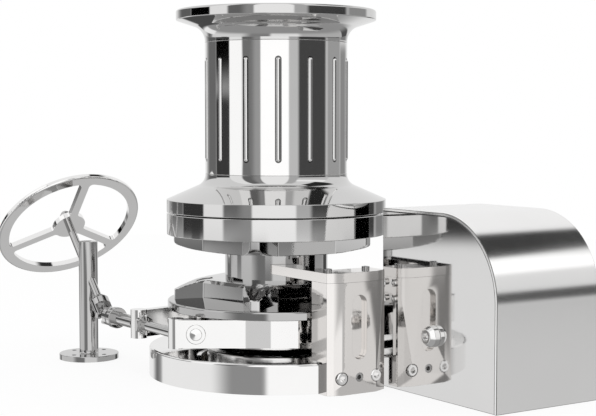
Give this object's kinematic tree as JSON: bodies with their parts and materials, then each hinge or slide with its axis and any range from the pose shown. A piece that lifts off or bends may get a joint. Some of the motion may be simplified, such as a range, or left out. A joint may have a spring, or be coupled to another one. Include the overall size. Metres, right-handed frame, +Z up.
{
  "type": "vertical anchor windlass",
  "caption": "Polished vertical windlass: ribbed capstan over a chain gypsy, band brake worked by a tilted handwheel, chain stripper bracket and rounded chain hood.",
  "frame": {"origin": "centre of the base disc's underside, on the main shaft's axis at deck level", "axes": "+Z up along the main shaft; +X towards the chain hood's side of the windlass; -Y towards the chain stripper bracket, with the hood beside it"},
  "size_m": [0.5108, 0.7908, 0.5118],
  "materials": {
    "polished_steel": "mirror-polished stainless steel",
    "satin_steel": "satin stainless steel",
    "bronze": "turned bronze",
    "friction_lining": "woven friction lining",
    "seal_rubber": "moulded rubber"
  },
  "bodies": {
    "base": {"base_plate": "polished_steel", "lower_bush": "bronze", "shaft_seal": "seal_rubber", "brake_band_rear": "polished_steel", "brake_lining_rear": "friction_lining", "band_foot_screws": "satin_steel", "hinge_pin": "satin_steel", "hinge_clip": "satin_steel", "pedestal": "polished_steel", "pedestal_bush": "bronze", "stripper_bracket": "polished_steel", "stripper_side_plate": "polished_steel", "stripper_side_screws": "polished_steel", "stripper_plate": "polished_steel", "stripper_top_screws": "polished_steel", "stripper_foot_bolts": "polished_steel", "stripper_set_screw": "polished_steel", "hood_cover": "polished_steel", "hood_side_plate": "polished_steel", "hood_outer_plate": "polished_steel", "hood_frame": "satin_steel", "chain_pipe": "polished_steel", "hood_bolt": "polished_steel", "hood_bolt_nut": "satin_steel"},
    "capstan": {"main_shaft": "satin_steel", "hub_key": "satin_steel", "lower_thrust_washer": "bronze", "upper_thrust_washer": "bronze", "capstan_base": "polished_steel", "capstan_barrel": "polished_steel", "grip_bars": "polished_steel", "capstan_top": "polished_steel", "drum_cap": "polished_steel", "cap_screws": "satin_steel"},
    "gypsy": {"gypsy_lower_half": "polished_steel", "gypsy_upper_half": "polished_steel", "gypsy_bolts": "satin_steel", "gypsy_lower_bush": "bronze", "gypsy_upper_bush": "bronze", "clutch_lining": "friction_lining", "brake_drum": "satin_steel", "drum_screws": "satin_steel"},
    "brake_arm": {"brake_band_front": "polished_steel", "brake_lining_front": "friction_lining", "arm_bolt": "polished_steel"},
    "brake_screw": {"brake_screw": "polished_steel", "castle_nut": "polished_steel", "split_pin": "satin_steel", "thrust_collar": "polished_steel", "lower_yoke": "polished_steel", "lower_joint_pins": "satin_steel"},
    "handwheel": {"handwheel": "polished_steel", "wheel_shaft": "polished_steel", "handwheel_nut": "polished_steel", "upper_yoke": "polished_steel", "joint_cross": "polished_steel"}
  },
  "joints": [
    {"name": "capstan_spin", "type": "hinge", "parent": "base", "child": "capstan", "pos_m": [0, 0, 0.1], "axis": [0, 0, 1], "continuous": true},
    {"name": "gypsy_spin", "type": "hinge", "parent": "base", "child": "gypsy", "pos_m": [0, 0, 0.1], "axis": [0, 0, 1], "continuous": true},
    {"name": "handwheel_spin", "type": "hinge", "parent": "base", "child": "handwheel", "pos_m": [-0.175, 0.244, 0.127], "axis": [0, -0.7071, -0.7071], "range_deg": [0, 576]},
    {"name": "screw_spin", "type": "hinge", "parent": "base", "child": "brake_screw", "pos_m": [-0.175, 0.12, 0.071], "axis": [0, -1, 0], "range_deg": [0, 576]},
    {"name": "brake_arm_swing", "type": "hinge", "parent": "base", "child": "brake_arm", "pos_m": [0.124, 0, 0.072], "axis": [0, 0, 1], "range_deg": [-1.23, 0]}
  ],
  "couplings": [
    {"joint": "screw_spin", "follows": "handwheel_spin", "ratio": 1},
    {"joint": "brake_arm_swing", "follows": "handwheel_spin", "ratio": -0.0021292}
  ]
}
